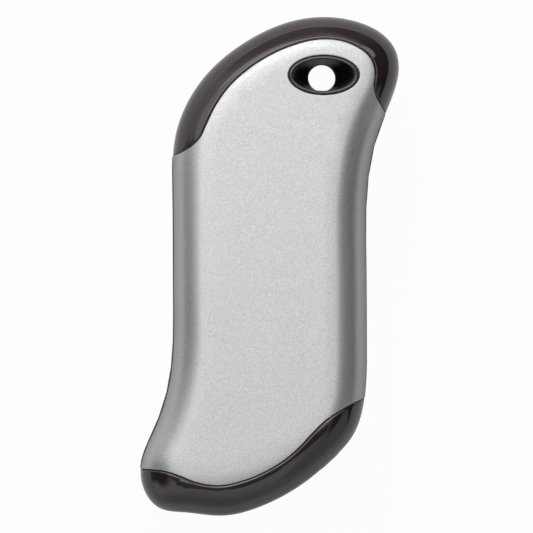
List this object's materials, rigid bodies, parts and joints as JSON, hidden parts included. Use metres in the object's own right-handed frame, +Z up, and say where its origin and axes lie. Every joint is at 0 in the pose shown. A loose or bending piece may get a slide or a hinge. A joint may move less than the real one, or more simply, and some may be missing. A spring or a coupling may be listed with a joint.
{
  "type": "rechargeable hand warmer",
  "caption": "Pocket hand warmer with silver shells, glossy black end trims, a lanyard hole, inner cells, heater films, a control board, sockets and a power button.",
  "frame": {"origin": "middle of the footprint on the surface the warmer lies on, back shell down", "axes": "+Z up through the front shell, +Y along the length towards the lanyard eyelet, +X to the right seen from the front"},
  "size_m": [0.0685, 0.1317, 0.0264],
  "materials": {
    "silver_paint": "satin metal-flake paint",
    "gloss_black": "gloss",
    "frame_black": "matte",
    "film_amber": "gloss film",
    "pad_grey": "soft matte",
    "cell_wrap": "plastic-wrapped can",
    "nickel": "plain nickel",
    "steel": "plated",
    "board_green": "solder mask",
    "chip_black": "matte",
    "tongue_black": "satin",
    "ferrite": "matte",
    "clear_plastic": "clear gloss",
    "lead_red": "satin",
    "lead_black": "satin",
    "lead_white": "satin"
  },
  "bodies": {
    "housing": {"front_shell": "silver_paint", "back_shell": "silver_paint", "top_trim": "gloss_black", "bottom_cap": "gloss_black", "lanyard_eyelet": "gloss_black", "core_frame": "frame_black", "cell_bracket_top": "frame_black", "cell_bracket_bottom": "frame_black", "front_heater_film": "film_amber", "back_heater_film": "film_amber", "front_heater_pad": "pad_grey", "back_heater_pad": "pad_grey", "battery_cell_left": "cell_wrap", "battery_cell_right": "cell_wrap", "nickel_strip_top": "nickel", "nickel_strip_bottom": "nickel", "usb_a_shell": "steel", "usb_a_tongue": "tongue_black", "usb_a_contact_1": "nickel", "usb_a_contact_2": "nickel", "usb_a_contact_3": "nickel", "usb_a_contact_4": "nickel", "micro_usb_shell": "steel", "micro_usb_tongue": "tongue_black", "tact_switch": "steel", "board_screw_1": "steel", "board_screw_2": "steel", "board_screw_3": "steel", "main_board": "board_green", "controller_chip": "chip_black", "charger_chip": "chip_black", "thermistor": "chip_black", "board_capacitor_1": "pad_grey", "board_capacitor_2": "pad_grey", "board_capacitor_3": "pad_grey", "board_capacitor_4": "pad_grey", "power_inductor": "ferrite", "light_pipe": "clear_plastic", "indicator_led_1": "clear_plastic", "indicator_led_2": "clear_plastic", "indicator_led_3": "clear_plastic", "indicator_led_4": "clear_plastic", "battery_lead_plus": "lead_red", "battery_lead_minus": "lead_black", "thermistor_lead": "lead_black", "front_heater_lead": "lead_white", "back_heater_lead": "lead_white"},
    "button": {"power_button": "gloss_black"},
    "plunger": {"switch_plunger": "tongue_black"}
  },
  "joints": [
    {"name": "button_press", "type": "slide", "parent": "housing", "child": "button", "axis": [-0.6791, 0.7341, 0], "range_m": [0, 0.0004], "stiffness_N_per_m": 400},
    {"name": "plunger_press", "type": "slide", "parent": "housing", "child": "plunger", "axis": [-0.6791, 0.7341, 0], "range_m": [0, 0.0004]}
  ],
  "couplings": [
    {"joint": "plunger_press", "follows": "button_press", "ratio": 1}
  ]
}
